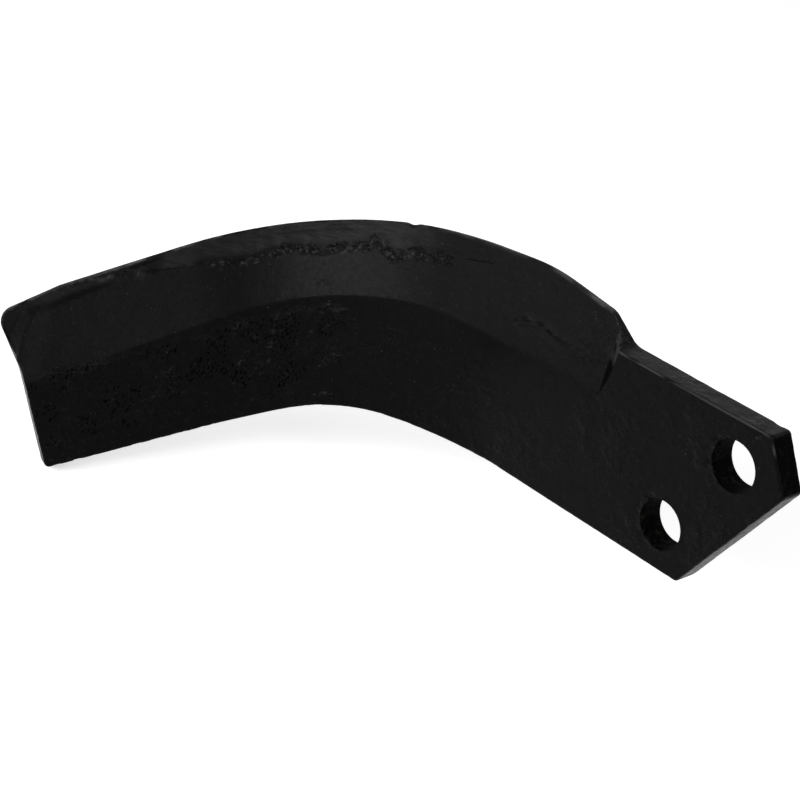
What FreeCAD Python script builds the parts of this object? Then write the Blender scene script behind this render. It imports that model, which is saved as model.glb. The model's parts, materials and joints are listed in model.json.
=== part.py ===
"""Rotary tiller blade: a forged flat bar with a bolted shank, a sideways bend and a bevelled wing.

Frame: the origin lies midway between the two bolt holes, on the flat face that seats on the rotor
flange. +X runs along the shank towards its bolted end, +Z across the bar towards the cutting edge,
and +Y out of the flange face. The wing bends away from the flange, towards -Y.

The blade is drawn first as it lies flat, before it is bent, in the plane of the flange face: flat x
is X there and flat y is Z. A ruling is a line of that flat blank parallel to the bend line. It stays
straight when the bar is bent, so each one is placed whole, by its distance from the bolt holes.
"""
import FreeCAD, Part
import math
import os
import Sketcher
from FreeCAD import Placement, Rotation, Vector

NODE = "tiller_blade"

# Driving sizes, in millimetres and degrees. Heights are measured up from the lower edge of the bar.
SIZES = {
    # Bar and shank
    "bar_width": 50.0,
    "bar_thickness": 7.5,
    "hole_diameter": 13.5,
    "hole_spacing": 31.0,
    "hole_slant": 35.0,
    "end_margin": 13.7,
    "nose_height": 13.5,
    "nose_slant": 27.5,
    # Sideways bend
    "bend_slant": 19.0,
    "bend_start": 70.3,
    "bend_radius": 76.0,
    "bend_angle": 66.0,
    # Lower edge of the flat blank
    "sweep_start": 103.5,
    "sweep_radius": 71.0,
    "sweep_angle": 25.0,
    "wing_length": 67.0,
    # Cutting edge
    "shoulder_distance": 64.0,
    "shoulder_height": 59.0,
    "elbow_height": 54.5,
    "root_height": 51.0,
    "tip_height": 47.3,
    "edge_blend": 180.0,
    "shoulder_round": 64.0,
    "runout_distance": 41.0,
    "runout_height": 56.1,
    "runout_slope": 36.0,
    "runout_round": 6.0,
    # Bevel and its ramp into the bar
    "edge_thickness": 1.6,
    "crease_tip_height": 24.2,
    "crease_root_height": 30.0,
    "crease_elbow_height": 34.2,
    "crease_end_height": 35.6,
    "crease_blend": 122.0,
    "ramp_distance": 36.0,
    "ramp_lean": 15.0,
    "ramp_slope": 40.0,
    "ramp_round": 3.0,
    # Tip of the wing
    "flare_start": 28.0,
    "flare_top": 42.0,
    "flare_width": 2.3,
    "flare_blend": 20.0,
    "tip_nose_length": 15.8,
    "tip_nose_drop": 3.4,
    "tip_round": 4.5,
    # Forged corners and edges
    "corner_round": 1.5,
    "edge_round": 0.8,
}

BEND_SECTIONS = 12  # spans of the lofts along the bend
PATTERN_REACH = 400.0  # longer than the blank, for lines that are cut to it
MATCH = 0.05  # how near a point lies to the place that it is known by
TRIM_CLEARANCE = 3.0  # how far the trimming tools stand clear of the bar
BEVEL_CLEARANCE = 2.0  # how far the bevel tool stands out of the hollow side
EDGE_OVERRUN = 6.0  # how far the bevel tool reaches past the cutting edge

UPRIGHT = Placement(Vector(), Rotation(Vector(1, 0, 0), 90))  # flat x and y become X and Z


def make_sheet(doc):
    """Keep every driving size in one spreadsheet, under its own name."""
    sheet = doc.addObject("Spreadsheet::Sheet", "sizes")
    for row, (name, value) in enumerate(SIZES.items(), start=1):
        sheet.set(f"A{row}", name)
        sheet.set(f"B{row}", str(value))
        sheet.setAlias(f"B{row}", name)
    doc.recompute()
    return sheet


def flat_direction(degrees):
    """Unit vector of the flat blank, turned anticlockwise from flat x."""
    angle = math.radians(degrees)
    return Vector(math.cos(angle), math.sin(angle), 0)


def shank_point(size, x, height):
    """Point of the flat blank above the straight part of the lower edge."""
    return Vector(x, height - size.bar_width / 2, 0)


def wing_point(size, distance, height):
    """Point above the straight lower edge of the wing, by its distance beyond the sweep."""
    turn = flat_direction(90 + size.sweep_angle)
    centre = shank_point(size, -size.sweep_start, -size.sweep_radius)
    on_sweep = centre + turn * (size.sweep_radius + height)
    return on_sweep + flat_direction(180 + size.sweep_angle) * distance


def meeting_point(first, second):
    """Point where two lines cross, each given by two of its points."""
    start = first[0]
    along = first[1] - start
    other = second[1] - second[0]
    between = second[0] - start
    share = (between.x * other.y - between.y * other.x) / (along.x * other.y - along.y * other.x)
    return start + along * share


def rounded_path(corners, radii):
    """Straight runs through the corners, with each inner corner rounded to its own radius."""
    edges = []
    start = corners[0]
    for before, corner, after, radius in zip(corners, corners[1:], corners[2:], radii):
        back = (before - corner).normalize()
        ahead = (after - corner).normalize()
        half = back.getAngle(ahead) / 2
        setback = radius / math.tan(half)
        leave = corner + back * setback
        rejoin = corner + ahead * setback
        inward = (back + ahead).normalize()
        middle = corner + inward * (radius / math.sin(half) - radius)
        edges.append(Part.LineSegment(start, leave).toShape())
        edges.append(Part.Arc(leave, middle, rejoin).toShape())
        start = rejoin
    edges.append(Part.LineSegment(start, corners[-1]).toShape())
    return edges


def end_corners(size):
    """Corners of the bolted end: the heel, the nose and the top of the short facet."""
    across = flat_direction(90 - size.hole_slant)
    on_end = flat_direction(-size.hole_slant) * size.end_margin
    half = size.bar_width / 2
    heel = on_end + across * ((-half - on_end.y) / across.y)
    nose = on_end + across * ((half - size.nose_height - on_end.y) / across.y)
    lean = size.nose_height * math.tan(math.radians(size.nose_slant))
    top = nose + Vector(-lean, size.nose_height, 0)
    return heel, nose, top


def edge_corners(size):
    """Corners of the cutting edge: the end of the wing, the sweep and the shoulder."""
    wing_end = wing_point(size, size.wing_length - size.tip_nose_length, size.tip_height)
    wing_root = wing_point(size, 0, size.root_height)
    elbow = shank_point(size, -size.sweep_start, size.elbow_height)
    shoulder = shank_point(size, -size.shoulder_distance, size.shoulder_height)
    sweep = meeting_point((wing_end, wing_root), (elbow, shoulder))
    return wing_end, sweep, shoulder


def edge_line(size):
    """Line of the finished cutting edge, carried straight on past the tip and the shoulder."""
    wing_end, sweep, shoulder = edge_corners(size)
    past_tip = wing_end + (wing_end - sweep)
    past_shoulder = shoulder + (shoulder - sweep)
    return Part.Wire(rounded_path([past_tip, sweep, past_shoulder], [size.edge_blend]))


def crease_line(size):
    """Line on the face where the bevel begins, from beyond the tip to beyond the ramp."""
    tip = wing_point(size, size.wing_length, size.crease_tip_height)
    root = wing_point(size, 0, size.crease_root_height)
    elbow = shank_point(size, -size.sweep_start, size.crease_elbow_height)
    end = ramp_foot(size)
    sweep = meeting_point((tip, root), (elbow, end))
    past_tip = tip + (tip - root)
    past_end = end + (end - elbow)
    return Part.Wire(rounded_path([past_tip, sweep, past_end], [size.crease_blend]))


def ramp_foot(size):
    """Point of the face where the crease ends and the ramp begins."""
    return shank_point(size, -size.ramp_distance, size.crease_end_height)


def upper_outline(size):
    """Outline from the nose of the tip along the cutting edge, over the shoulder and to the end."""
    wing_end, sweep, shoulder = edge_corners(size)
    runout = shank_point(size, -size.runout_distance, size.runout_height)
    fall = size.runout_height - size.bar_width
    foot = runout + Vector(fall / math.tan(math.radians(size.runout_slope)), -fall, 0)
    top = end_corners(size)[2]
    corners = [wing_end, sweep, shoulder, runout, foot, top]
    radii = [size.edge_blend, size.shoulder_round, size.runout_round, size.runout_round]
    return rounded_path(corners, radii)


def tip_outline(size):
    """End of the wing: cut square, flared towards the edge, with a rounded tip corner."""
    heel = wing_point(size, size.wing_length, 0)
    flare = wing_point(size, size.wing_length, size.flare_start)
    flare_end = wing_point(size, size.wing_length + size.flare_width, size.flare_top)
    nose = wing_point(size, size.wing_length + size.flare_width, size.tip_height - size.tip_nose_drop)
    wing_end = edge_corners(size)[0]
    corner = meeting_point((flare, flare_end), (wing_end, nose))
    return rounded_path([heel, flare, corner, wing_end], [size.flare_blend, size.tip_round])


def blank_face(size):
    """The flat blank, as a face inside its outline."""
    heel, nose, top = end_corners(size)
    wing_heel = wing_point(size, size.wing_length, 0)
    sweep_end = wing_point(size, 0, 0)
    sweep_start = shank_point(size, -size.sweep_start, 0)
    centre = shank_point(size, -size.sweep_start, -size.sweep_radius)
    sweep_middle = centre + flat_direction(90 + size.sweep_angle / 2) * size.sweep_radius
    edges = tip_outline(size) + upper_outline(size)
    edges.append(Part.LineSegment(top, nose).toShape())
    edges.append(Part.LineSegment(nose, heel).toShape())
    edges.append(Part.LineSegment(heel, sweep_start).toShape())
    edges.append(Part.Arc(sweep_start, sweep_middle, sweep_end).toShape())
    edges.append(Part.LineSegment(sweep_end, wing_heel).toShape())
    return Part.Face(Part.Wire(Part.__sortEdges__(edges)))


class Bend:
    """The sideways bend: where each ruling of the flat blank goes."""

    def __init__(self, size):
        self.away = flat_direction(180 + size.bend_slant)
        self.ruling = flat_direction(90 + size.bend_slant)
        self.start = size.bend_start
        self.angle = math.radians(size.bend_angle)
        self.radius = size.bend_radius
        self.thickness = size.bar_thickness
        self.outer = self.radius + self.thickness
        self.end = self.start + self.radius * self.angle
        self.step = (self.end - self.start) / BEND_SECTIONS

    def place(self, distance):
        """Placement of a section: local x up the ruling, local y through the bar to the hollow side."""
        turn = min(max((distance - self.start) / self.radius, 0), self.angle)
        past = distance - self.end if distance > self.end else min(distance - self.start, 0)
        away = Vector(self.away.x, 0, self.away.y)
        ruling = Vector(self.ruling.x, 0, self.ruling.y)
        flange = Vector(0, 1, 0)
        along = away * math.cos(turn) - flange * math.sin(turn)
        inward = (away * math.sin(turn) + flange * math.cos(turn)) * -1
        on_arc = away * math.sin(turn) - flange * (1 - math.cos(turn))
        base = away * self.start + on_arc * self.outer + along * past
        return Placement(base, Rotation(ruling, inward, Vector(), "XYZ"))

    def fold(self):
        """Placement that carries the flat wing, drawn in the plane of the flange face, to its place."""
        axis = Vector(self.ruling.x, 0, self.ruling.y)
        turned = Rotation(axis, math.degrees(self.angle))
        away = Vector(self.away.x, 0, self.away.y)
        shift = self.place(self.end).Base - turned.multVec(away * self.end)
        return Placement(shift, turned)

    def unfold(self, point):
        """Distance, height on the ruling and depth below the flange face of a point of the bent bar."""
        across = point.x * self.away.x + point.z * self.away.y
        height = point.x * self.ruling.x + point.z * self.ruling.y
        past = across - self.start
        fall = point.y + self.outer
        if past <= 0:
            return across, height, -point.y
        turn = math.atan2(past, fall)
        if turn <= self.angle:
            return self.start + self.radius * turn, height, self.outer - math.hypot(past, fall)
        along = past * math.cos(self.angle) - fall * math.sin(self.angle)
        out = past * math.sin(self.angle) + fall * math.cos(self.angle)
        return self.end + along, height, self.outer - out

    def on_ruling(self, flat_point):
        """Distance and height of a point of the flat blank."""
        return flat_point.dot(self.away), flat_point.dot(self.ruling)

    def ruling_line(self, distance):
        """The ruling as a long line of the flat blank."""
        middle = self.away * distance
        reach = self.ruling * PATTERN_REACH
        return Part.LineSegment(middle - reach, middle + reach).toShape()

    def span(self, distance, face):
        """Lowest and highest place on a ruling that lies inside a flat face."""
        cut = face.common(self.ruling_line(distance))
        heights = [self.on_ruling(vertex.Point)[1] for vertex in cut.Vertexes]
        return min(heights), max(heights)

    def crossing(self, distance, wire):
        """Place on a ruling where a flat line crosses it."""
        meetings = wire.distToShape(self.ruling_line(distance))[1]
        return self.on_ruling(meetings[0][0])[1]

    def zone(self, face, near, far):
        """Part of a flat face between two rulings."""
        corners = []
        for distance, side in ((near, -1), (near, 1), (far, 1), (far, -1)):
            corners.append(self.away * distance + self.ruling * (side * PATTERN_REACH))
        band = Part.Face(Part.makePolygon(corners + [corners[0]]))
        return face.common(band)


def add_sketch(body, name, placement):
    """Sketch of a body, attached to its base plane at the given placement."""
    planes = {plane.Role: plane for plane in body.Origin.OriginFeatures}
    sketch = body.newObject("Sketcher::SketchObject", name)
    sketch.AttachmentSupport = [(planes["XY_Plane"], "")]
    sketch.MapMode = "FlatFace"
    sketch.AttachmentOffset = placement
    return sketch


def trace(sketch, face):
    """Copy the outline of a flat face into a sketch."""
    for edge in face.Edges:
        first, last = edge.ParameterRange
        if isinstance(edge.Curve, Part.Circle):
            sketch.addGeometry(Part.ArcOfCircle(edge.Curve, first, last), False)
        else:
            sketch.addGeometry(Part.LineSegment(edge.valueAt(first), edge.valueAt(last)), False)


def add_polygon(sketch, corners):
    """Closed polygon whose corners are joined, and its lines' numbers."""
    following = corners[1:] + corners[:1]
    sides = [Part.LineSegment(corner, after) for corner, after in zip(corners, following)]
    lines = [sketch.addGeometry(side, False) for side in sides]
    for line, after in zip(lines, lines[1:] + lines[:1]):
        sketch.addConstraint(Sketcher.Constraint("Coincident", line, 2, after, 1))
    return lines


def bind(sketch, constraints):
    """Add dimensions to a sketch, each driven by its formula."""
    for formula, constraint in constraints.items():
        number = sketch.addConstraint(constraint)
        sketch.setExpression(f"Constraints[{number}]", formula)


def add_plate(doc, body, name, face, placement):
    """Plate of the bar's thickness, from the flange face to the hollow side."""
    sketch = add_sketch(body, name + "_outline", placement)
    trace(sketch, face)
    plate = body.newObject("PartDesign::Pad", name)
    plate.Profile = sketch
    plate.setExpression("Length", "sizes.bar_thickness")
    doc.recompute()


def add_bend_block(doc, body, bend, lowest, highest):
    """Curved block between the bend's two end rulings, wide enough for the whole outline."""
    sketch = add_sketch(body, "bend_section", bend.place(bend.start))
    corners = [
        Vector(lowest, 0, 0),
        Vector(highest, 0, 0),
        Vector(highest, bend.thickness, 0),
        Vector(lowest, bend.thickness, 0),
    ]
    lines = add_polygon(sketch, corners)
    axis = Part.LineSegment(Vector(lowest, bend.outer, 0), Vector(highest, bend.outer, 0))
    axis_line = sketch.addGeometry(axis, True)
    sketch.addConstraint(Sketcher.Constraint("Horizontal", lines[0]))
    sketch.addConstraint(Sketcher.Constraint("Horizontal", axis_line))
    bind(sketch, {
        "sizes.bar_thickness":
            Sketcher.Constraint("DistanceY", lines[1], 1, lines[1], 2, bend.thickness),
        "sizes.bend_radius":
            Sketcher.Constraint("DistanceY", lines[1], 2, axis_line, 2, bend.radius),
    })
    block = body.newObject("PartDesign::Revolution", "bend_block")
    block.Profile = sketch
    block.ReferenceAxis = (sketch, ["Axis0"])
    block.setExpression("Angle", "sizes.bend_angle")
    doc.recompute()


def trim_bend(doc, body, bend, name, sides):
    """Take off what lies past one edge of the outline, along evenly spaced rulings."""
    sections = []
    for index, (near, far) in enumerate(sides):
        placement = bend.place(bend.start + bend.step * index)
        sketch = add_sketch(body, f"{name}_section_{index:02d}", placement)
        corners = [
            Vector(near, -TRIM_CLEARANCE, 0),
            Vector(far, -TRIM_CLEARANCE, 0),
            Vector(far, bend.thickness + TRIM_CLEARANCE, 0),
            Vector(near, bend.thickness + TRIM_CLEARANCE, 0),
        ]
        add_polygon(sketch, corners)
        sections.append(sketch)
    trim = body.newObject("PartDesign::SubtractiveLoft", name)
    trim.Profile = sections[0]
    trim.Sections = sections[1:]
    doc.recompute()


def add_bent_bar(doc, body, size, bend, face):
    """The bent stretch of the bar: a curved block, trimmed to the outline of the flat blank."""
    spans = [bend.span(bend.start + bend.step * index, face) for index in range(BEND_SECTIONS + 1)]
    lowest = min(low for low, high in spans) - TRIM_CLEARANCE
    highest = max(high for low, high in spans) + TRIM_CLEARANCE
    add_bend_block(doc, body, bend, lowest, highest)
    past = size.bar_width
    trim_bend(doc, body, bend, "lower_trim", [(low, low - past) for low, high in spans])
    trim_bend(doc, body, bend, "upper_trim", [(high, high + past) for low, high in spans])


def add_bolt_holes(doc, body, size):
    """Two round holes either side of the origin, in line with the slanted end."""
    sketch = add_sketch(body, "bolt_circles", UPRIGHT)
    across = flat_direction(90 - size.hole_slant) * (size.hole_spacing / 2)
    radius = size.hole_diameter / 2
    upper = sketch.addGeometry(Part.Circle(across, Vector(0, 0, 1), radius), False)
    lower = sketch.addGeometry(Part.Circle(across * -1, Vector(0, 0, 1), radius), False)
    sketch.addConstraint(Sketcher.Constraint("Symmetric", upper, 3, lower, 3, -1, 1))
    sketch.addConstraint(Sketcher.Constraint("Equal", upper, lower))
    bind(sketch, {
        "sizes.hole_diameter": Sketcher.Constraint("Diameter", upper, size.hole_diameter),
        "sizes.hole_spacing / 2 * sin(sizes.hole_slant * 1deg)":
            Sketcher.Constraint("DistanceX", -1, 1, upper, 3, across.x),
        "sizes.hole_spacing / 2 * cos(sizes.hole_slant * 1deg)":
            Sketcher.Constraint("DistanceY", -1, 1, upper, 3, across.y),
    })
    holes = body.newObject("PartDesign::Pocket", "bolt_holes")
    holes.Profile = sketch
    holes.Type = "ThroughAll"
    holes.Midplane = True
    doc.recompute()


def bevel_corners(size, crease, edge):
    """Section of the metal forged away: past the crease and past the edge, clear of the hollow side."""
    slope = (size.bar_thickness - size.edge_thickness) / (edge - crease)
    top = size.bar_thickness + BEVEL_CLEARANCE
    beyond = edge + EDGE_OVERRUN
    return [
        Vector(crease - BEVEL_CLEARANCE / slope, top, 0),
        Vector(beyond, size.edge_thickness - slope * EDGE_OVERRUN, 0),
        Vector(beyond, top, 0),
    ]


def add_bevel_section(body, bend, distance, corners):
    """Section of the bevel tool on one ruling."""
    sketch = add_sketch(body, f"bevel_section_{round(distance):03d}", bend.place(distance))
    add_polygon(sketch, corners)
    return sketch


def add_bevel_loft(doc, body, name, sections):
    """Stretch of the bevel tool: straight between two sections, smooth through more."""
    loft = body.newObject("PartDesign::AdditiveLoft", name)
    loft.Profile = sections[0]
    loft.Sections = sections[1:]
    loft.Ruled = len(sections) == 2
    doc.recompute()


def add_bevel_tool(doc, size, bend):
    """Solid of the metal that the forging takes off the hollow side along the cutting edge."""
    body = doc.addObject("PartDesign::Body", "bevel_tool")
    doc.recompute()
    crease = crease_line(size)
    edge = edge_line(size)

    def corners_at(distance):
        return bevel_corners(size, bend.crossing(distance, crease), bend.crossing(distance, edge))

    def section(distance):
        return add_bevel_section(body, bend, distance, corners_at(distance))

    shift = Vector(bend.crossing(0, crease) - bend.crossing(bend.start, crease), 0, 0)
    same_slope = [corner + shift for corner in corners_at(bend.start)]
    shank_end = add_bevel_section(body, bend, 0, same_slope)
    bend_sections = [section(bend.start + bend.step * index) for index in range(BEND_SECTIONS + 1)]
    past_tip = section(bend.end + size.wing_length)
    add_bevel_loft(doc, body, "shank_bevel", [shank_end, bend_sections[0]])
    add_bevel_loft(doc, body, "bend_bevel", bend_sections)
    add_bevel_loft(doc, body, "wing_bevel", [bend_sections[-1], past_tip])
    return body


def add_ramp_block(doc, size):
    """Block whose lower face is the ramp at the bolted end of the bevel."""
    lean = math.radians(size.ramp_lean)
    slope = math.radians(size.ramp_slope)
    up = Vector(math.sin(lean), 0, math.cos(lean))
    left = Vector(-math.cos(lean), 0, math.sin(lean))
    down = left * math.cos(slope) + Vector(0, 1, 0) * math.sin(slope)
    block = doc.addObject("Part::Box", "ramp_block")
    for side in ("Length", "Width", "Height"):
        block.setExpression(side, "2 * sizes.bar_width")
    foot = ramp_foot(size)
    on_face = Vector(foot.x, -size.bar_thickness, foot.y)
    corner = on_face - (down + up) * size.bar_width
    block.Placement = Placement(corner, Rotation(down, up, Vector(), "XYZ"))
    doc.recompute()
    return block


def add_fillet(doc, body, name, edges, radius):
    """Round edges of the body's last feature, by their numbers, to a named size."""
    rounded = body.Tip
    fillet = body.newObject("PartDesign::Fillet", name)
    fillet.Base = (rounded, [f"Edge{number}" for number in edges])
    fillet.setExpression("Radius", radius)
    doc.recompute()


def corner_edges(size, bend, shape):
    """Numbers of the edges that stand through the bar at the outline's sharp corners."""
    corners = [bend.on_ruling(corner) for corner in end_corners(size)]
    corners.append(bend.on_ruling(wing_point(size, size.wing_length, 0)))
    chosen = []
    for number, edge in enumerate(shape.Edges, start=1):
        distance, height, depth = bend.unfold(edge.CenterOfMass)
        at_corner = any(math.hypot(distance - x, height - y) < MATCH for x, y in corners)
        if at_corner and abs(depth - bend.thickness / 2) < MATCH:
            chosen.append(number)
    return chosen


def rim_edges(bend, shape):
    """Numbers of the edges round both faces of the bar, but not the smooth seams across them."""
    chosen = []
    for number, edge in enumerate(shape.Edges, start=1):
        first, last = edge.ParameterRange
        points = [bend.unfold(edge.valueAt(at)) for at in (first, (first + last) / 2, last)]
        distances, heights, depths = zip(*points)
        on_face = any(max(abs(depth - level) for depth in depths) < MATCH for level in (0, bend.thickness))
        seam = any(max(abs(x - end) for x in distances) < MATCH for end in (bend.start, bend.end))
        if on_face and not seam:
            chosen.append(number)
    return chosen


def add_bar(doc, size, bend):
    """The whole bar as bent, with its rounded edges and its holes, before the edge is forged."""
    body = doc.addObject("PartDesign::Body", "bar")
    doc.recompute()
    face = blank_face(size)
    shank = bend.zone(face, bend.start - PATTERN_REACH, bend.start)
    wing = bend.zone(face, bend.end, bend.end + PATTERN_REACH)
    add_bent_bar(doc, body, size, bend, face)
    add_plate(doc, body, "shank", shank, UPRIGHT)
    add_plate(doc, body, "wing", wing, bend.fold().multiply(UPRIGHT))
    add_fillet(doc, body, "round_corners", corner_edges(size, bend, body.Shape), "sizes.corner_round")
    add_fillet(doc, body, "round_rims", rim_edges(bend, body.Shape), "sizes.edge_round")
    add_bolt_holes(doc, body, size)
    return body


def add_cut(doc, name, base, tool):
    """One solid less another."""
    cut = doc.addObject("Part::Cut", name)
    cut.Base = base
    cut.Tool = tool
    doc.recompute()
    return cut


def ramp_corner(size, ramp, shape):
    """Number of the edge that runs from the ramp's foot down between the ramp and the bevel."""
    foot = ramp_foot(size)
    on_face = Vector(foot.x, -size.bar_thickness, foot.y)
    to_ramp = ramp.Placement.inverse()
    distances = {}
    for number, edge in enumerate(shape.Edges, start=1):
        ends = [edge.valueAt(at) for at in edge.ParameterRange]
        on_ramp = all(abs(to_ramp.multVec(end).z) < MATCH for end in ends)
        if on_ramp and abs(ends[0].y - ends[1].y) > MATCH:
            distances[number] = min(end.distanceToPoint(on_face) for end in ends)
    return min(distances, key=distances.get)


def round_ramp(doc, size, cut):
    """Soften the inner corner where the ramp meets the bevel."""
    number = ramp_corner(size, doc.ramp_block, cut.Shape)
    blade = doc.addObject("Part::Fillet", "blade")
    blade.Base = cut
    blade.Edges = [(number, size.ramp_round, size.ramp_round)]
    doc.recompute()
    return blade


def check(doc, blade):
    """Stop before anything is written if a step failed."""
    failed = [item.Name for item in doc.Objects if {"Invalid", "Error"} & set(item.State)]
    if failed:
        raise RuntimeError("failed: " + ", ".join(failed))
    if blade.Shape.isNull() or not blade.Shape.isValid() or len(blade.Shape.Solids) != 1:
        raise RuntimeError("the blade is not one valid solid")


def main():
    doc = FreeCAD.newDocument("tiller_blade")
    size = make_sheet(doc)
    bend = Bend(size)
    bar = add_bar(doc, size, bend)
    forged_away = add_cut(doc, "forged_away", add_bevel_tool(doc, size, bend), add_ramp_block(doc, size))
    blade = round_ramp(doc, size, add_cut(doc, "bevelled_bar", bar, forged_away))
    blade.Label = NODE
    check(doc, blade)
    os.makedirs("parts", exist_ok=True)
    blade.Shape.exportStep(f"parts/{NODE}.step")
    print(f"{NODE}: {blade.Shape.Volume:.0f} mm3, {len(blade.Shape.Faces)} faces")


main()
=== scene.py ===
# The looks of a rotary tiller blade: forged skin, black satin paint, studio and camera.
# Sizes are in millimetres until the last step of the mesh, which writes metres.
# Flat coordinates are those of the straight blank: x along the bar, y across it towards the
# cutting edge, and depth from the flange face. On the shank they are X, Z and -Y of the frame.

import json
import math

import bpy
import numpy as np
from mathutils import Matrix, Vector, noise


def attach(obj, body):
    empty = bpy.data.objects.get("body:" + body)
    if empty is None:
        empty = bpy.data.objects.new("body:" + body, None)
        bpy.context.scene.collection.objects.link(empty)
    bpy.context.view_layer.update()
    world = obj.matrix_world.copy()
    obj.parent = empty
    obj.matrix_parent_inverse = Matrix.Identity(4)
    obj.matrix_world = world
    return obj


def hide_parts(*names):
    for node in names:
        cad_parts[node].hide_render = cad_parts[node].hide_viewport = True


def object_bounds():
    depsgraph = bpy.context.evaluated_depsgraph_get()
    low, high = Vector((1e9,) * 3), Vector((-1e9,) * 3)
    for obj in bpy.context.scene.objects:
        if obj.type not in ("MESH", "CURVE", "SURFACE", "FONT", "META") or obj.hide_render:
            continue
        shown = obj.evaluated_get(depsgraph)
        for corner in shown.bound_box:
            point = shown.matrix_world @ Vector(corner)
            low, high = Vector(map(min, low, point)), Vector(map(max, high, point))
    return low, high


# Bend of the bar, as in the part's source
BEND_SLANT = 19.0
BEND_START = 70.3
BEND_RADIUS = 76.0
BEND_ANGLE = 66.0

# Camera, as fitted to the photograph
CAMERA_AIM = (-72.22, -41.15, 0.60)
CAMERA_DISTANCE = 542.64
CAMERA_AZIMUTH = 45.884
CAMERA_ELEVATION = 26.380
CAMERA_ROLL = 8.048
CAMERA_LENS = 95.8
FLOOR_GAP = 0.5

# Light: the world's strength, the floor's own light for the camera, and three soft boxes, each
# with its place from the blade's middle, its width and height in metres, and its power in watts
WORLD_LIGHT = 0.35
FLOOR_LIFT = 0.55
KEY_BOX = ((-0.05, -0.80, 0.50), 0.9, 0.4, 8.8)
SIDE_BOX = ((0.74, -0.12, 0.66), 0.7, 0.42, 3.2)
FILL_BOX = ((-0.62, -0.76, 0.13), 0.5, 0.3, 1.2)
FLOOR_HALF = 4.0
FLOOR_COLOUR = (0.8, 0.8, 0.8, 1.0)
WHITE = (1.0, 1.0, 1.0, 1.0)

# Colours and gloss of the skin; the bores' dirt is paler than the dull scale that paints shade on the
# end facet and in the pits
PAINT_IOR = 1.125
SCALE_IOR = 1.06
SCALE_DARK = (0.0002, 0.0002, 0.0002, 1.0)
BORE_DIRT = 0.011
SHADE_SCALE_PALE = 0.004
PAINT_DARK = (0.0004, 0.0004, 0.0005, 1.0)
PAINT_PALE = (0.0013, 0.0013, 0.0014, 1.0)
# The grey of worn paint, also used for the painted highlights on rims and edges
WEAR_AND_HIGHLIGHT_GREY = (0.07, 0.07, 0.071, 1.0)

# Spacing of the cuts that give the skin enough points for its marks
FINE_CUT = 0.6
COARSE_CUT = 1.2
DEPTH_CUT = 1.9
FINE_BEYOND = -44.0
SHARP_ANGLE = 32.0

# Depths of the marks
SKIN_DEPTH = 0.05
SCALE_DEPTH = 0.12
FINE_SCALE_DEPTH = 0.07
GROOVE_DEPTH = 0.22
EDGE_LINE_DEPTH = 0.16
LIP_DROP = 0.45
LAP_RISE = 0.17
LAP_FALL = 0.3
CORNER_NICK_DEPTH = 0.5
EDGE_NICK_DEPTH = 0.45
CHIP_DEPTH = 0.55

# Marks that the photograph shows, in flat coordinates
RAGGED_LINE = (
    (-163.5, 3.0),
    (-150.2, 7.6),
    (-141.8, 13.0),
    (-133.1, 15.0),
    (-121.4, 19.5),
    (-119.8, 22.0),
    (-113.7, 18.7),
    (-108.5, 21.6),
    (-104.3, 21.8),
    (-94.1, 24.4),
)
LAP_MARK = (
    (-69.2, 17.9),
    (-68.0, 19.0),
    (-66.5, 19.2),
    (-61.6, 19.7),
    (-55.0, 18.6),
    (-49.1, 18.3),
    (-45.8, 18.6),
)
LAP_HEAD = (-67.1, 16.9)
CORNER_NICK = (14.2, 24.0)
EDGE_NICK = -111.5
NOSE_SLANT = 27.5
CREASE_TURN = (-126.9, 1.9)
CREASE_SLOPE = 0.485
LIP_LINE = (
    (-207.9, -30.0),
    (-207.9, -26.2),
    (-206.0, -19.3),
    (-202.0, -17.2),
    (-193.9, -12.0),
    (-189.0, -9.0),
    (-184.2, -5.1),
    (-177.2, -0.9),
    (-169.0, 3.6),
    (-155.0, 11.0),
)


def smooth(low, high, value):
    """A step from 0 at low to 1 at high, without corners."""
    part = np.clip((value - low) / (high - low), 0.0, 1.0)
    return part * part * (3.0 - 2.0 * part)


def directions():
    """The direction away from the shank, square to the bend, and the direction of its rulings."""
    slant = math.radians(BEND_SLANT)
    away = np.array((-math.cos(slant), -math.sin(slant)))
    ruling = np.array((-math.sin(slant), math.cos(slant)))
    return away, ruling


def unfold(points, thickness):
    """Flat coordinates of points on the bent blade."""
    away, ruling = directions()
    outer = BEND_RADIUS + thickness
    angle = math.radians(BEND_ANGLE)
    across = points[:, [0, 2]] @ away
    height = points[:, [0, 2]] @ ruling
    past = across - BEND_START
    fall = points[:, 1] + outer
    turn = np.arctan2(past, fall)
    along = past * math.cos(angle) - fall * math.sin(angle)
    out = past * math.sin(angle) + fall * math.cos(angle)
    end = BEND_START + BEND_RADIUS * angle
    bent = BEND_START + BEND_RADIUS * turn
    shank = past <= 0.0
    wing = turn > angle
    distance = np.where(shank, across, np.where(wing, end + along, bent))
    depth = np.where(shank, -points[:, 1], outer - np.where(wing, out, np.hypot(past, fall)))
    flat = np.outer(distance, away) + np.outer(height, ruling)
    return np.column_stack((flat, depth))


def fold(flat, thickness):
    """Points on the bent blade, from their flat coordinates."""
    away, ruling = directions()
    outer = BEND_RADIUS + thickness
    angle = math.radians(BEND_ANGLE)
    distance = flat[:, :2] @ away
    height = flat[:, :2] @ ruling
    run = distance - BEND_START
    turn = np.clip(run / BEND_RADIUS, 0.0, angle)
    before = np.minimum(run, 0.0)
    after = np.maximum(run - BEND_RADIUS * angle, 0.0)
    radius = outer - flat[:, 2]
    past = radius * np.sin(turn) + after * math.cos(angle)
    fall = radius * np.cos(turn) - after * math.sin(angle)
    across = BEND_START + before + past
    level = np.outer(across, away) + np.outer(height, ruling)
    return np.column_stack((level[:, 0], fall - outer, level[:, 1]))


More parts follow.
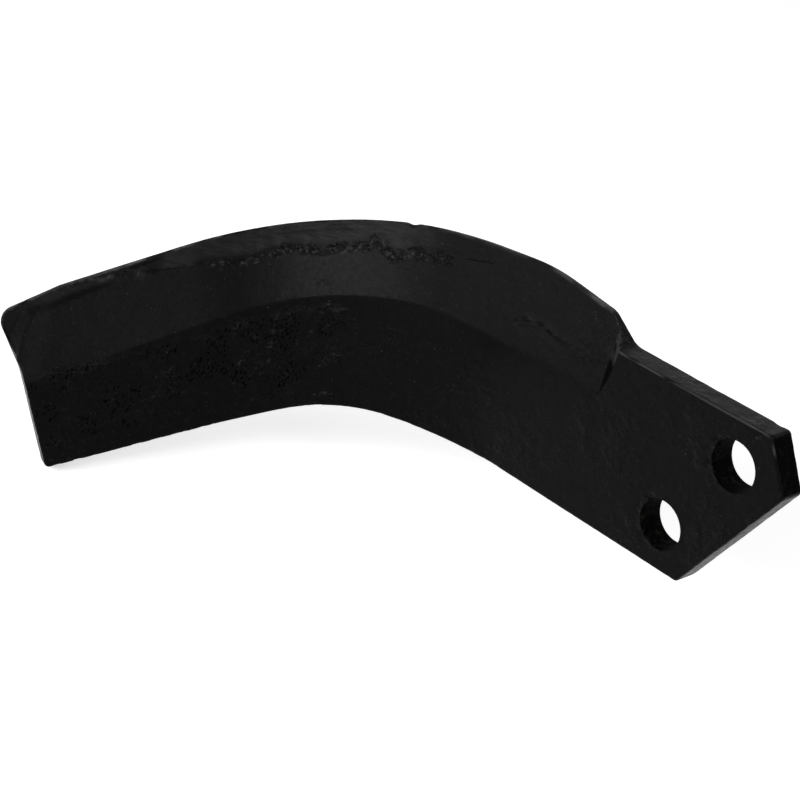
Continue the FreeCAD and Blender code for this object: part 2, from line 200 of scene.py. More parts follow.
def cad_triangles(node):
    """The node's points in millimetres, each one once, and its triangles."""
    mesh = node.data
    mesh.calc_loop_triangles()
    points = np.array([v.co for v in mesh.vertices], dtype=float) * 1000.0
    triangles = np.array([t.vertices for t in mesh.loop_triangles], dtype=int)
    keys = np.round(points, 4)
    unique, first, same = np.unique(keys, axis=0, return_index=True, return_inverse=True)
    return points[first], same.reshape(-1)[triangles]


def kept_side(shapes, sizes, axis, level, sign):
    """The part of each polygon on one side of its own level on an axis."""
    rows = np.arange(len(shapes))
    room = shapes.shape[1]
    kept = np.zeros((len(shapes), room + 1, 3))
    count = np.zeros(len(shapes), dtype=int)
    for corner in range(room):
        live = corner < sizes
        here = shapes[:, corner]
        after = shapes[rows, np.where(corner + 1 < sizes, corner + 1, 0)]
        here_off = sign * (here[:, axis] - level)
        after_off = sign * (after[:, axis] - level)
        here_off[np.abs(here_off) < 1e-6] = 0.0
        after_off[np.abs(after_off) < 1e-6] = 0.0
        stays = rows[live & (here_off >= 0.0)]
        kept[stays, count[stays]] = here[stays]
        count[stays] += 1
        crosses = rows[live & (here_off * after_off < 0.0)]
        share = here_off[crosses] / (here_off[crosses] - after_off[crosses])
        kept[crosses, count[crosses]] = here[crosses] + share[:, None] * (after - here)[crosses]
        count[crosses] += 1
    return kept[:, :max(3, count.max())], count


def cut(shapes, sizes, axis, levels):
    """Cuts the polygons along every level that they cross on one axis."""
    slack = 1e-4
    value = shapes[:, :, axis]
    unused = np.arange(shapes.shape[1]) >= sizes[:, None]
    low = np.where(unused, 1e9, value).min(axis=1)
    high = np.where(unused, -1e9, value).max(axis=1)
    first = np.searchsorted(levels, low + slack, side="right")
    last = np.maximum(np.searchsorted(levels, high - slack, side="left"), first)
    pieces = last - first + 1
    source = np.repeat(np.arange(len(shapes)), pieces)
    turn = np.arange(len(source)) - np.repeat(np.cumsum(pieces) - pieces, pieces)
    bounds = np.concatenate(([-1e6], levels, [1e6]))
    slab = first[source] + turn
    below = np.where(turn > 0, bounds[slab], -1e6)
    above = np.where(slab < last[source], bounds[slab + 1], 1e6)
    shapes, sizes = kept_side(shapes[source], sizes[source], axis, below, 1.0)
    shapes, sizes = kept_side(shapes, sizes, axis, above, -1.0)
    return shapes[sizes > 2], sizes[sizes > 2]


def weld(shapes, sizes):
    """Splits the polygons into triangles and joins points at the same place."""
    fans = []
    for corner in range(1, shapes.shape[1] - 1):
        fans.append(shapes[sizes > corner + 1][:, [0, corner, corner + 1]])
    corners = np.concatenate(fans).reshape(-1, 3)
    keys = np.round(corners, 4)
    unique, first, same = np.unique(keys, axis=0, return_index=True, return_inverse=True)
    triangles = same.reshape(-1, 3)
    a, b, c = triangles.T
    open_ones = (a != b) & (b != c) & (c != a)
    return corners[first], triangles[open_ones]


def cut_skin(points, triangles):
    """The skin of the flat blade with enough points for its marks."""
    low = points.min(axis=0)
    high = points.max(axis=0)
    coarse = 1.0
    fine_x = np.arange(low[0] + 0.31, FINE_BEYOND, FINE_CUT * coarse)
    coarse_x = np.arange(FINE_BEYOND, high[0], COARSE_CUT * coarse)
    plain_y = np.arange(low[1] + 0.37, 0.0, COARSE_CUT * coarse)
    marked_y = np.arange(0.0, high[1], FINE_CUT * coarse)
    deep = np.arange(DEPTH_CUT, high[2] - 0.5, DEPTH_CUT)
    shapes = points[triangles]
    sizes = np.full(len(shapes), 3)
    shapes, sizes = cut(shapes, sizes, 2, deep)
    shapes, sizes = cut(shapes, sizes, 1, np.concatenate((plain_y, marked_y)))
    shapes, sizes = cut(shapes, sizes, 0, np.concatenate((fine_x, coarse_x)))
    return weld(shapes, sizes)


def as_mesh(name, points, triangles):
    """A mesh of these triangles, with outward normals."""
    mesh = bpy.data.meshes.new(name)
    mesh.from_pydata(points.tolist(), [], triangles.tolist())
    mesh.update()
    return mesh


def to_line(flat, line):
    """How far each point is from a line of the plan, on which side, and how far along."""
    best = np.full(len(flat), 1e9)
    side = np.zeros(len(flat))
    along = np.zeros(len(flat))
    run = 0.0
    for start, end in zip(line[:-1], line[1:]):
        start = np.array(start)
        step = np.array(end) - start
        length = math.hypot(*step)
        share = np.clip((flat - start) @ step / length ** 2, 0.0, 1.0)
        off = flat - start - np.outer(share, step)
        distance = np.hypot(off[:, 0], off[:, 1])
        nearer = distance < best
        turn = np.sign(step[0] * off[:, 1] - step[1] * off[:, 0])
        best = np.where(nearer, distance, best)
        side = np.where(nearer, turn, side)
        along = np.where(nearer, run + share * length, along)
        run += length
    return best, side, along / run


def waves(points, size, seed, near=None):
    """Soft noise between about -1 and 1, with this size of wave in millimetres, where it is near."""
    shift = Vector((seed, 2.7 * seed, -1.3 * seed))
    chosen = np.ones(len(points), dtype=bool) if near is None else near
    values = np.zeros(len(points))
    values[chosen] = [noise.noise(Vector(p) / size + shift) for p in points[chosen].tolist()]
    return values


def pits(points, size, reach, seed, near):
    """Round pits, 1 at the middle of each and 0 from reach times their spacing on."""
    shift = Vector((seed, -1.9 * seed, 0.6 * seed))
    values = np.ones(len(points))
    found = [noise.voronoi(Vector(p) / size + shift)[0][0] for p in points[near].tolist()]
    values[near] = found
    return smooth(reach, 0.25 * reach, values)


def edge_pairs(triangles):
    """The two ends of every edge, each edge once."""
    sides = np.vstack((triangles[:, [0, 1]], triangles[:, [1, 2]], triangles[:, [2, 0]]))
    return np.unique(np.sort(sides, axis=1), axis=0)


def mean_beside(values, pairs):
    """The mean of each point's neighbours."""
    one, other = pairs.T
    count = len(values)
    total = np.bincount(one, values[other], count) + np.bincount(other, values[one], count)
    return total / (np.bincount(one, minlength=count) + np.bincount(other, minlength=count))


def soften_ramp(flat, triangles, thickness):
    """Rounds the foot of the ramp and the end of the crease, as the hammer left them."""
    pairs = edge_pairs(triangles)
    x, y, depth = flat.T
    near = smooth(-86.0, -60.0, x) * smooth(-24.0, -30.0, x) * smooth(25.0, 15.0, y)
    near *= smooth(thickness - 6.0, thickness - 5.0, depth) * smooth(-12.0, -4.0, y)
    for step in range(8):
        beside = np.column_stack([mean_beside(flat[:, axis], pairs) for axis in range(3)])
        flat = flat + 0.7 * near[:, None] * (beside - flat)
    return flat


def soften_crease(flat, normals, triangles):
    """Takes the sharpness off the crease between the bevel and the thick bar."""
    pairs = edge_pairs(triangles)
    inside = 0.6 * smooth(0.93, 0.96, normals[:, 2])[:, None]
    for step in range(2):
        beside = np.column_stack([mean_beside(flat[:, axis], pairs) for axis in range(3)])
        flat = flat + inside * (beside - flat)
    return flat


def edge_wear_and_highlight(points, normals, triangles):
    """How much each point stands out from its neighbours, from 0 to 1: paler paint on the convex
    rims, part wear and part painted highlight.
    """
    pairs = edge_pairs(triangles)
    beside = np.column_stack([mean_beside(points[:, axis], pairs) for axis in range(3)])
    proud = 0.7 * smooth(0.08, 0.3, ((points - beside) * normals).sum(axis=1))
    proud = 0.5 * proud + 0.5 * mean_beside(proud, pairs)
    return proud * smooth(-0.35, 0.25, waves(points, 6.0, 71.0, proud > 0.01))


def forged_depth(points, normals):
    """How deep each place of the skin lies under the smooth CAD skin."""
    plan = points[:, :2]
    x = points[:, 0]
    hollow = smooth(0.1, 0.6, normals[:, 2])
    wing = smooth(-75.0, -115.0, x)
    depth = SKIN_DEPTH + SKIN_DEPTH * waves(points, 16.0, 3.0)
    depth += 0.03 * waves(points, 5.0, 11.0) * (0.4 + 0.6 * wing)
    rough = roughness_map(points)
    scaled = rough > 0.2
    depth += SCALE_DEPTH * rough * smooth(0.1, 0.45, waves(points, 2.6, 5.0, scaled))
    depth += FINE_SCALE_DEPTH * rough * smooth(0.15, 0.4, waves(points, 1.5, 8.0, scaled))
    depth += ragged_groove(points, plan) * hollow
    depth += lip_step(plan) * hollow
    depth += edge_groove(plan) * hollow
    depth += nicks(plan)
    return np.maximum(depth, 0.0) + lap_fold(plan) * hollow


def ragged_groove(points, plan):
    """The broken groove where the thinned metal met the thick bar."""
    near = to_line(plan, RAGGED_LINE)[0] < 6.0
    wander = (waves(points, 3.0, 41.0, near), waves(points, 3.0, 47.0, near))
    distance, side, along = to_line(plan + 1.6 * np.column_stack(wander), RAGGED_LINE)
    broken = smooth(-0.1, 0.2, waves(points, 2.4, 53.0, near))
    ends = smooth(0.0, 0.08, along) * smooth(1.0, 0.93, along)
    groove = GROOVE_DEPTH * smooth(0.6, 0.1, distance) * (0.1 + 0.9 * broken)
    beside = smooth(3.0, 1.0, distance) * pits(points, 1.5, 0.45, 61.0, near)
    fall = np.where(side > 0, distance, 0.0) * smooth(-95.0, -110.0, plan[:, 0])
    return (groove + 0.05 * beside) * ends + 0.085 * np.clip(fall - 0.6, 0.0, 7.0)


def nicks(plan):
    """Two knocks: one under the bolted end's top corner and one in the cutting edge."""
    edge = plan[np.abs(plan[:, 0] - EDGE_NICK) < 1.0, 1].max()
    corner = np.hypot((plan[:, 0] - CORNER_NICK[0]) / 1.6, plan[:, 1] - CORNER_NICK[1])
    knock = np.hypot((plan[:, 0] - EDGE_NICK) / 1.6, plan[:, 1] - edge)
    knock = EDGE_NICK_DEPTH * smooth(1.3, 0.2, knock)
    return CORNER_NICK_DEPTH * smooth(1.5, 0.3, corner) + knock


def edge_gap(plan):
    """How far each point is from the cutting edge, straight across the bar."""
    cell = np.floor(plan[:, 0]).astype(int)
    first = cell.min()
    edge = np.full(cell.max() - first + 1, -1e9)
    np.maximum.at(edge, cell - first, plan[:, 1])
    return np.interp(plan[:, 0], np.arange(len(edge)) + first + 0.5, edge) - plan[:, 1]


def edge_groove(plan):
    """The shallow line that the die left beside the cutting edge."""
    x = plan[:, 0]
    gap = edge_gap(plan)
    line = smooth(0.9, 1.9, gap) * smooth(3.2, 2.1, gap)
    return EDGE_LINE_DEPTH * line * smooth(-190.0, -178.0, x) * smooth(-108.0, -128.0, x)


def lap_fold(plan):
    """A thin lap on the bend: a raised fold of metal with a hollow under it."""
    distance, side, along = to_line(plan, LAP_MARK)
    under = np.where(side < 0, 1.0, 0.0) * smooth(0.3, 0.7, distance) * smooth(2.6, 1.2, distance)
    ends = smooth(1.0, 0.7, along) * smooth(1.3, 0.9, np.hypot(*(plan - LAP_MARK[0]).T) / 16.0)
    head = 0.15 * smooth(2.2, 0.5, np.hypot(*(plan - LAP_HEAD).T))
    tail = LAP_FALL * under * smooth(0.8, 0.3, along) - LAP_RISE * smooth(0.9, 0.1, distance)
    return tail * ends + head


def lip_step(plan):
    """The lip that the forging left round the tip's edge, with lower metal inside it."""
    distance, side, along = to_line(plan, LIP_LINE)
    inward = np.where(side > 0, -distance, distance)
    drop = LIP_DROP * smooth(-1.5, 0.6, inward) * smooth(24.0, 1.0, inward)
    bead = 0.1 * np.clip(-inward - 1.9, 0.0, 2.5) ** 2
    fall = 0.2 * np.clip(-inward + 0.8, 0.0, 3.5)
    end = smooth(-199.5, -206.5, plan[:, 0])
    shape = end * fall + (1.0 - end) * (drop + bead) * smooth(1.0, 0.55, along)
    return shape * smooth(-8.0, -2.0, plan[:, 1] + 30.0)


def make_blade(node, record):
    """The forged blade: the CAD skin cut fine, marked and bent again."""
    bores = [m for m in record["mounts"] if m["kind"] == "bore"]
    thickness = bores[0]["dims"]["length_mm"]
    points, triangles = cad_triangles(node)
    flat = unfold(points, thickness)
    flat, triangles = cut_skin(flat, triangles)
    flat = soften_ramp(flat, triangles, thickness)
    mesh = as_mesh("forged_blade", flat, triangles)
    normals = np.array([n.vector for n in mesh.vertex_normals])
    flat = soften_crease(flat, normals, triangles)
    depth = forged_depth(flat, normals)
    for bore in bores:
        depth = depth * bore_shield(flat, bore) + chipped_rim(flat, normals, bore)
    marked = flat - normals * depth[:, None]
    placed = fold(marked, thickness) / 1000.0
    mesh.vertices.foreach_set("co", placed.ravel())
    store(mesh, "flat", flat / 1000.0)
    # Pale marks for the paint: wear, and painted highlights on rims and edges
    wear_and_highlights = edge_wear_and_highlight(marked, normals, triangles)
    wear_and_highlights = np.maximum(wear_and_highlights, pale_lip_and_band(flat, normals))
    wear_and_highlights = np.maximum(wear_and_highlights, bright_edge(flat))
    wear_and_highlights = np.maximum(wear_and_highlights, rim_highlight_and_wear(flat, normals))
    wear_and_highlights = np.maximum(wear_and_highlights, torn_flecks_and_highlight(flat) * smooth(0.3, 0.7, normals[:, 2]))
    for bore in bores:
        wear_and_highlights *= bore_shield(flat, bore, 2.5)
    store(mesh, "torn", np.outer(torn_zone(flat), np.ones(3)))
    store(mesh, "skin", np.column_stack((wear_and_highlights, roughness_map(flat), drawn_band(flat))))
    mesh.materials.append(paint_material())
    mesh.materials.append(scale_material("bore_scale", BORE_DIRT))
    # Dull scale that paints shade on the end facet and in the pits
    mesh.materials.append(scale_material("bare_scale", SHADE_SCALE_PALE))
    choose_materials(mesh, flat, normals, bores)
    mesh.update()
    mesh.shade_smooth()
    mesh.set_sharp_from_angle(angle=math.radians(SHARP_ANGLE))
    blade = bpy.data.objects.new("forged_blade", mesh)
    bpy.context.scene.collection.objects.link(blade)
    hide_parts("tiller_blade")
    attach(blade, "root")
    return blade


def roughness_map(flat):
    """Where the skin is scaled and pitted most, from 0 to 1: the thick part of the wing."""
    x, y, depth = flat.T
    wing = smooth(-95.0, -125.0, x)
    bend = 0.55 * smooth(-45.0, -90.0, x)
    crease = CREASE_TURN[1] + CREASE_SLOPE * np.minimum(x - CREASE_TURN[0], 0.0)
    thick = smooth(0.3, -3.0, y - crease)
    shank = 0.32 * smooth(-60.0, -30.0, x)
    return np.clip(0.12 + 0.88 * np.maximum(np.maximum(wing, bend) * thick, shank), 0.0, 1.0)


def drawn_band(flat):
    """The smooth band between the broken groove and the edge, drawn out by the hammer."""
    distance, side, along = to_line(flat[:, :2], RAGGED_LINE)
    return smooth(0.6, 2.5, np.where(side > 0, distance, 0.0)) * smooth(12.0, 9.0, distance)


def torn_zone(flat):
    """The zone of fine cracks round the broken groove."""
    distance, side, along = to_line(flat[:, :2] + (0.0, 0.6), RAGGED_LINE)
    ends = smooth(0.0, 0.1, along) * smooth(1.0, 0.94, along)
    broken = smooth(-0.2, 0.2, waves(flat, 2.8, 97.0, distance < 3.0))
    return smooth(1.9, 0.5, distance) * ends * (0.1 + 0.9 * broken)


def pale_lip_and_band(flat, normals):
    """Paler paint on the drawn band near the tip, and most of all on the lip round it."""
    distance, side, along = to_line(flat[:, :2], LIP_LINE)
    outside = np.where(side > 0, distance, 0.0)
    lip = 0.12 * smooth(1.2, 2.2, outside) * smooth(0.5, 0.25, along) * smooth(0.12, 0.2, along)
    lip *= smooth(8.0, 6.5, distance)
    band = 0.115 * drawn_band(flat) * smooth(-98.0, -118.0, flat[:, 0])
    hollow = smooth(0.1, 0.5, normals[:, 2])
    return np.maximum(lip, band) * hollow


def bright_edge(flat):
    """The rim of the cutting edge, painted pale as a highlight with rubbed paint in it, most of all
    at the tip and above the ramp.
    """
    x = flat[:, 0]
    strength = 0.25 + 0.65 * smooth(-140.0, -160.0, x) + 0.55 * smooth(-75.0, -55.0, x)
    rim = smooth(1.0, 0.3, edge_gap(flat[:, :2])) * smooth(-40.5, -42.5, x)
    return rim * strength * smooth(-0.5, 0.1, waves(flat, 5.0, 29.0, rim > 0.01))


def rim_highlight_and_wear(flat, normals):
    """The rim between the shank's hollow face and its top face, painted pale: its highlight and its
    rubbed paint.
    """
    rim = smooth(0.25, 0.5, normals[:, 2]) * smooth(0.98, 0.88, normals[:, 2])
    rim *= smooth(-42.0, -38.0, flat[:, 0]) * smooth(20.0, 22.0, flat[:, 1])
    return 0.4 * rim * smooth(-0.6, 0.2, waves(flat, 4.0, 31.0, rim > 0.01))


def torn_flecks_and_highlight(flat):
    """Pale flecks on the lip just below the ragged line: paint broken off, and a painted highlight on
    that lip.
    """
    distance, side, along = to_line(flat[:, :2] + (0.0, 0.9), RAGGED_LINE)
    near = distance < 2.5
    ends = smooth(0.0, 0.06, along) * smooth(1.0, 0.8, along)
    fleck = smooth(0.2, 0.4, waves(flat, 0.8, 19.0, near)) * smooth(1.6, 0.4, distance)
    return 0.35 * fleck * ends * near


def choose_materials(mesh, flat, normals, bores):
    """Gives the bores dirty scale, and the cropped corner and the pits of the wing a dull scale as
    painted shade.
    """
    corners = np.zeros(len(mesh.loops), dtype=int)
    mesh.loops.foreach_get("vertex_index", corners)
    corners = corners.reshape(-1, 3)
    middle = flat[corners].mean(axis=1)
    facing = normals[corners].mean(axis=1)
    choice = np.zeros(len(corners), dtype=int)
    for bore in bores:
        centre = np.array((bore["pos_m"][0], bore["pos_m"][2])) * 1000.0
        distance = np.hypot(*(middle[:, :2] - centre).T)
        choice[distance < bore["dims"]["r_mm"] + 0.01] = 1
    slant = math.radians(NOSE_SLANT)
    # The cropped end facet gets the dull scale as painted shade
    choice[facing[:, :2] @ (math.cos(slant), math.sin(slant)) > 0.97] = 2
    choice[shaded_pits(middle, facing)] = 2
    mesh.polygons.foreach_set("material_index", choice)


def shaded_pits(middle, facing):
    """The faces in small black pits, which lie in clusters on the thick part of the wing; their black
    is painted shade from a dull material.
    """
    x, y, depth = middle.T
    crease = CREASE_TURN[1] + CREASE_SLOPE * np.minimum(x - CREASE_TURN[0], 0.0)
    below = crease - y
    zone = (facing[:, 2] > 0.8) & (x < -124.0) & (below > 1.5) & (below < 24.0)
    dense = 0.45 * smooth(28.0, 8.0, np.abs(x + 153.0)) * smooth(20.0, 9.0, below) - 0.22
    cluster = 1.1 * waves(middle, 6.5, 23.0, zone) + dense
    pit = waves(middle, 0.62, 37.0, zone)
    return zone & (cluster > 0.0) & (pit > 0.3 - 0.3 * np.minimum(cluster, 0.3))


def chipped_rim(flat, normals, bore):
    """Small chips that the punch broke from the rim, on the side away from the bolted end."""
    centre = np.array((bore["pos_m"][0], bore["pos_m"][2])) * 1000.0
    off = flat[:, :2] - centre
    distance = np.hypot(*off.T)
    ring = smooth(2.6, 0.4, distance - bore["dims"]["r_mm"])
    hollow = smooth(0.1, 0.6, normals[:, 2])
    sided = smooth(0.1, 0.8, -off[:, 0] / distance)
    broken = smooth(-0.3, 0.3, waves(flat, 1.6, 83.0, distance < 11.0))
    return CHIP_DEPTH * ring * hollow * sided * broken


def bore_shield(flat, bore, reach=1.2):
    """0 in the bore and 1 outside its rim, so that the bolt still fits."""
    centre = np.array((bore["pos_m"][0], bore["pos_m"][2])) * 1000.0
    distance = np.hypot(*(flat[:, :2] - centre).T)
    radius = bore["dims"]["r_mm"]
    return smooth(radius + 0.1, radius + reach, distance)


def store(mesh, name, values):
    """Keeps a vector for each point, for the material."""
    attribute = mesh.attributes.new(name, "FLOAT_VECTOR", "POINT")
    attribute.data.foreach_set("vector", values.astype(np.float32).ravel())


def node_of(tree, kind, **inputs):
    """A new node with some of its inputs set."""
    node = tree.nodes.new(kind)
    for name, value in inputs.items():
        node.inputs[name.replace("_", " ")].default_value = value
    return node


def mapped(tree, value, low, high, to_low, to_high):
    """Stretches a value from one range to another, and stops it there."""
    node = tree.nodes.new("ShaderNodeMapRange")
    node.inputs["From Min"].default_value = low
    node.inputs["From Max"].default_value = high
    node.inputs["To Min"].default_value = to_low
    node.inputs["To Max"].default_value = to_high
    tree.links.new(value, node.inputs["Value"])
    return node.outputs["Result"]


def product(tree, one, other):
    """Two values multiplied."""
    node = tree.nodes.new("ShaderNodeMath")
    node.operation = "MULTIPLY"
    tree.links.new(one, node.inputs[0])
    tree.links.new(other, node.inputs[1])
    return node.outputs[0]


def bumped(tree, height, strength, distance, before=None):
    """One layer of relief over another."""
    bump = node_of(tree, "ShaderNodeBump", Strength=strength, Distance=distance)
    tree.links.new(height, bump.inputs["Height"])
    if before is not None:
        tree.links.new(before, bump.inputs["Normal"])
    return bump.outputs["Normal"]


def noise_of(tree, place, scale, detail):
    """Fractal noise on the flat coordinates; scale is in waves per metre."""
    node = node_of(tree, "ShaderNodeTexNoise", Scale=scale, Detail=detail, Roughness=0.6)
    tree.links.new(place, node.inputs["Vector"])
    return node.outputs["Fac"]


def cells_of(tree, place, scale):
    """How far each place is from the middle of its cell; scale is in cells per metre."""
    node = node_of(tree, "ShaderNodeTexVoronoi", Scale=scale)
    tree.links.new(place, node.inputs["Vector"])
    return node.outputs["Distance"]


def streaks_of(tree, place):
    """Noise drawn out along the bar."""
    stretch = tree.nodes.new("ShaderNodeMapping")
    stretch.inputs["Scale"].default_value = (0.1, 1.0, 1.0)
    tree.links.new(place, stretch.inputs["Vector"])
    return noise_of(tree, stretch.outputs["Vector"], 800.0, 4.0)


def paint_colour(tree, place, wear_and_highlights):
    """Nearly black paint, greyer where it wore thin on the edges, in small random flecks, and where
    highlights on rims and edges are painted in.
    """
    cloud = noise_of(tree, place, 420.0, 5.0)
    tint = tree.nodes.new("ShaderNodeMix")
    tint.data_type = "RGBA"
    tint.inputs["A"].default_value = PAINT_DARK
    tint.inputs["B"].default_value = PAINT_PALE
    tree.links.new(mapped(tree, cloud, 0.3, 0.7, 0.0, 1.0), tint.inputs["Factor"])
    wear_highlight_mix = tree.nodes.new("ShaderNodeMix")
    wear_highlight_mix.data_type = "RGBA"
    wear_highlight_mix.inputs["B"].default_value = WEAR_AND_HIGHLIGHT_GREY
    patchy = mapped(tree, streaks_of(tree, place), 0.35, 0.6, 0.45, 1.0)
    flecks = mapped(tree, noise_of(tree, place, 1300.0, 3.0), 0.67, 0.8, 0.0, 0.5)
    marks = tree.nodes.new("ShaderNodeMath")
    marks.operation = "MAXIMUM"
    tree.links.new(product(tree, wear_and_highlights, patchy), marks.inputs[0])
    tree.links.new(flecks, marks.inputs[1])
    tree.links.new(marks.outputs[0], wear_highlight_mix.inputs["Factor"])
    tree.links.new(tint.outputs["Result"], wear_highlight_mix.inputs["A"])
    return wear_highlight_mix.outputs["Result"]


def cracks_of(tree, place, scale):
    """Narrow cracks between warped cells, 0 in the crack and 1 beside it."""
    warp = node_of(tree, "ShaderNodeTexNoise", Scale=700.0, Detail=3.0)
    tree.links.new(place, warp.inputs["Vector"])
    shift = tree.nodes.new("ShaderNodeVectorMath")
    shift.operation = "MULTIPLY_ADD"
    shift.inputs[1].default_value = (0.002, 0.002, 0.002)
    tree.links.new(warp.outputs["Color"], shift.inputs[0])
    tree.links.new(place, shift.inputs[2])
    node = node_of(tree, "ShaderNodeTexVoronoi", Scale=scale)
    node.feature = "DISTANCE_TO_EDGE"
    tree.links.new(shift.outputs["Vector"], node.inputs["Vector"])
    return mapped(tree, node.outputs["Distance"], 0.02, 0.16, 0.0, 1.0)


def paint_relief(tree, place, rough, drawn, ragged):
    """Fine grain, scale, small pits, cracks and drawn-out streaks under the paint."""
    patches = mapped(tree, noise_of(tree, place, 70.0, 3.0), 0.42, 0.62, 0.1, 1.0)
    rough = product(tree, rough, patches)
    scale = noise_of(tree, place, 330.0, 6.0)
    normal = bumped(tree, product(tree, scale, rough), 0.5, 0.0003)
    dots = mapped(tree, cells_of(tree, place, 900.0), 0.1, 0.38, 0.0, 1.0)
    normal = bumped(tree, product(tree, dots, rough), 0.3, 0.0001, normal)
    holes = mapped(tree, noise_of(tree, place, 1000.0, 4.0), 0.58, 0.66, 1.0, 0.0)
    normal = bumped(tree, product(tree, holes, rough), 0.7, 0.00025, normal)
    clusters = mapped(tree, noise_of(tree, place, 95.0, 3.0), 0.5, 0.6, 0.0, 1.0)
    dents = mapped(tree, cells_of(tree, place, 1250.0), 0.1, 0.32, 0.0, 1.0)
    dents = product(tree, dents, product(tree, clusters, rough))
    normal = bumped(tree, dents, 1.0, 0.0004, normal)
    normal = bumped(tree, product(tree, streaks_of(tree, place), drawn), 0.7, 0.0003, normal)
    torn = product(tree, cracks_of(tree, place, 800.0), ragged)
    normal = bumped(tree, torn, 0.6, 0.0003, normal)
    return bumped(tree, noise_of(tree, place, 1500.0, 5.0), 0.5, 0.00009, normal)


def paint_material():
    """Thin black satin paint over scaled, pitted steel."""
    material = bpy.data.materials.new("black_paint")
    material.use_nodes = True
    tree = material.node_tree
    link = tree.links.new
    shader = tree.nodes["Principled BSDF"]
    shader.inputs["IOR"].default_value = PAINT_IOR
    spot = tree.nodes.new("ShaderNodeAttribute")
    spot.attribute_name = "flat"
    skin = tree.nodes.new("ShaderNodeAttribute")
    skin.attribute_name = "skin"
    parts = tree.nodes.new("ShaderNodeSeparateXYZ")
    link(skin.outputs["Vector"], parts.inputs["Vector"])
    place = spot.outputs["Vector"]
    # The skin's first value brings in worn paint and painted highlights
    link(paint_colour(tree, place, parts.outputs["X"]), shader.inputs["Base Color"])
    torn = tree.nodes.new("ShaderNodeAttribute")
    torn.attribute_name = "torn"
    relief = paint_relief(tree, place, parts.outputs["Y"], parts.outputs["Z"], torn.outputs["Fac"])
    gloss = noise_of(tree, place, 700.0, 4.0)
    link(mapped(tree, gloss, 0.3, 0.7, 0.26, 0.38), shader.inputs["Roughness"])
    link(relief, shader.inputs["Normal"])
    return material


def scale_material(name, pale):
    """Dull scale with no paint on it, for the bores' dirt and as painted shade on the end facet and
    in the pits; pale is the lightest of its dirt.
    """
    material = bpy.data.materials.new(name)
    material.use_nodes = True
    tree = material.node_tree
    shader = tree.nodes["Principled BSDF"]
    shader.inputs["IOR"].default_value = SCALE_IOR
    spot = tree.nodes.new("ShaderNodeAttribute")
    spot.attribute_name = "flat"
    place = spot.outputs["Vector"]
    dirt = tree.nodes.new("ShaderNodeMix")
    dirt.data_type = "RGBA"
    dirt.inputs["A"].default_value = SCALE_DARK
    dirt.inputs["B"].default_value = (pale, 0.96 * pale, 0.87 * pale, 1.0)
    cloud = noise_of(tree, place, 600.0, 6.0)
    tree.links.new(mapped(tree, cloud, 0.48, 0.7, 0.0, 1.0), dirt.inputs["Factor"])
    tree.links.new(dirt.outputs["Result"], shader.inputs["Base Color"])
    tree.links.new(mapped(tree, cloud, 0.3, 0.7, 0.55, 0.8), shader.inputs["Roughness"])
    tree.links.new(bumped(tree, cloud, 0.8, 0.0005), shader.inputs["Normal"])
    return material


def seen_of(tree):
    """1 for camera, glossy and transmission rays, and 0 for the rays that light things."""
    path = tree.nodes.new("ShaderNodeLightPath")
    first = tree.nodes.new("ShaderNodeMath")
    first.operation = "MAXIMUM"
    second = tree.nodes.new("ShaderNodeMath")
    second.operation = "MAXIMUM"
    tree.links.new(path.outputs["Is Camera Ray"], first.inputs[0])
    tree.links.new(path.outputs["Is Glossy Ray"], first.inputs[1])
    tree.links.new(first.outputs[0], second.inputs[0])
    tree.links.new(path.outputs["Is Transmission Ray"], second.inputs[1])
    return second.outputs[0]


def floor_material():
    """Plain white studio floor."""
    material = bpy.data.materials.new("studio_floor")
    material.use_nodes = True
    tree = material.node_tree
    shader = tree.nodes["Principled BSDF"]
    shader.inputs["Base Color"].default_value = FLOOR_COLOUR
    shader.inputs["Roughness"].default_value = 0.9
    shader.inputs["Specular IOR Level"].default_value = 0.0
    shader.inputs["Emission Color"].default_value = WHITE
    lift = mapped(tree, seen_of(tree), 0.0, 1.0, 0.0, FLOOR_LIFT)
    tree.links.new(lift, shader.inputs["Emission Strength"])
    return material


def make_floor(level):
    """A wide floor just under the blade."""
    half = FLOOR_HALF
    mesh = bpy.data.meshes.new("floor")
    corners = [(-half, -half, level), (half, -half, level), (half, half, level), (-half, half, level)]
    mesh.from_pydata(corners, [], [(0, 1, 2, 3)])
    mesh.materials.append(floor_material())
    floor = bpy.data.objects.new("floor", mesh)
    bpy.context.scene.collection.objects.link(floor)
    return floor


def make_world():
    """Even pale light, seen white by the camera and in reflections."""
    world = bpy.data.worlds.new("studio")
    bpy.context.scene.world = world
    world.use_nodes = True
    tree = world.node_tree
    back = tree.nodes["Background"]
    back.inputs["Color"].default_value = WHITE
    strength = mapped(tree, seen_of(tree), 0.0, 1.0, WORLD_LIGHT, 1.0)
    tree.links.new(strength, back.inputs["Strength"])
    return world


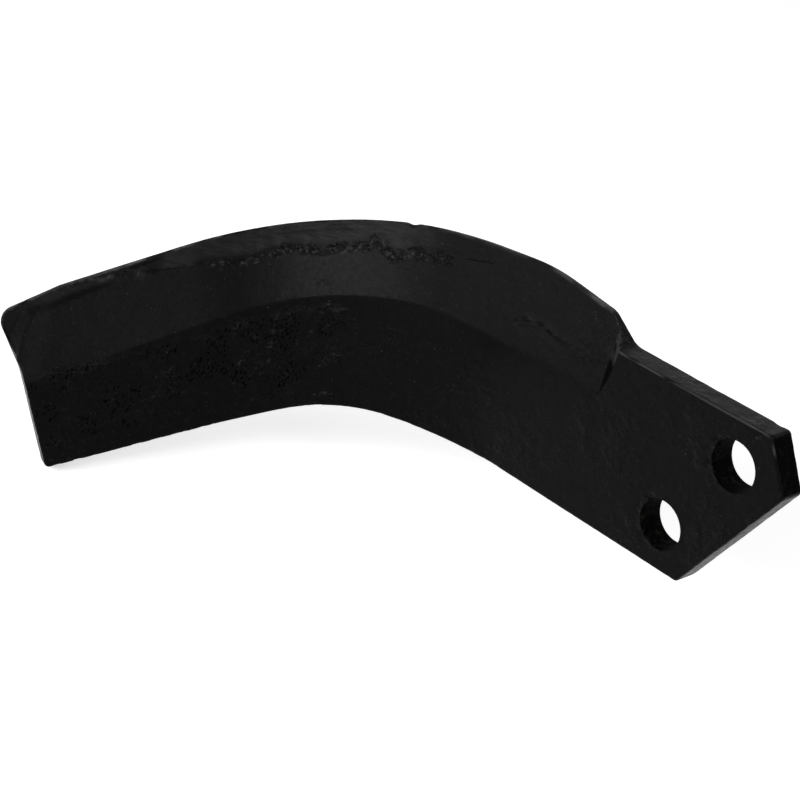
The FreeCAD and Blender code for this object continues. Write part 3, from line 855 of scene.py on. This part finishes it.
def add_lamp(name, aim, offset, width, height, power):
    """A soft box at an offset from the point that it looks at."""
    place = aim + Vector(offset)
    lamp = bpy.data.lights.new(name, "AREA")
    lamp.shape = "RECTANGLE"
    lamp.size = width
    lamp.size_y = height
    lamp.energy = power
    holder = bpy.data.objects.new(name, lamp)
    bpy.context.scene.collection.objects.link(holder)
    holder.location = place
    holder.rotation_mode = "QUATERNION"
    holder.rotation_quaternion = (aim - place).to_track_quat("-Z", "Y")
    return holder


def add_camera():
    """The camera of the photograph."""
    azimuth = math.radians(CAMERA_AZIMUTH)
    elevation = math.radians(CAMERA_ELEVATION)
    roll = math.radians(CAMERA_ROLL)
    level = Vector((math.cos(azimuth), math.sin(azimuth), 0.0))
    forward = Vector((-math.sin(azimuth), math.cos(azimuth), 0.0)) * math.cos(elevation)
    forward.z = -math.sin(elevation)
    upright = level.cross(forward)
    right = level * math.cos(roll) + upright * math.sin(roll)
    upward = upright * math.cos(roll) - level * math.sin(roll)
    turn = Matrix((right, upward, -forward)).transposed()
    data = bpy.data.cameras.new("camera")
    data.sensor_width = 36.0
    data.lens = CAMERA_LENS
    data.clip_start = 0.01
    data.clip_end = 50.0
    camera = bpy.data.objects.new("camera", data)
    bpy.context.scene.collection.objects.link(camera)
    camera.rotation_mode = "QUATERNION"
    camera.rotation_quaternion = turn.to_quaternion()
    camera.location = (Vector(CAMERA_AIM) - forward * CAMERA_DISTANCE) / 1000.0
    bpy.context.scene.camera = camera
    return camera


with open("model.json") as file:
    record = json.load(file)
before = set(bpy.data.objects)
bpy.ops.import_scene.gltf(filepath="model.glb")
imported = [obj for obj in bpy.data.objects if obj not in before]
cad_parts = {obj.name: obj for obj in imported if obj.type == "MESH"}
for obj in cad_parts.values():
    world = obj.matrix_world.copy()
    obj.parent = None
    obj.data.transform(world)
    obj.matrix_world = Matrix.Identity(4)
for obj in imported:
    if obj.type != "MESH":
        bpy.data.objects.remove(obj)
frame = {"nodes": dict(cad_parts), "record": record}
cad_low, cad_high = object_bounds()
bpy.context.scene.view_settings.view_transform = "Standard"
add_camera()
make_blade(frame["nodes"]["tiller_blade"], frame["record"])
make_floor(cad_low.z - FLOOR_GAP / 1000.0)
make_world()
middle = (cad_low + cad_high) / 2.0
add_lamp("key", middle, *KEY_BOX)
add_lamp("side", middle, *SIDE_BOX)
add_lamp("fill", middle, *FILL_BOX)
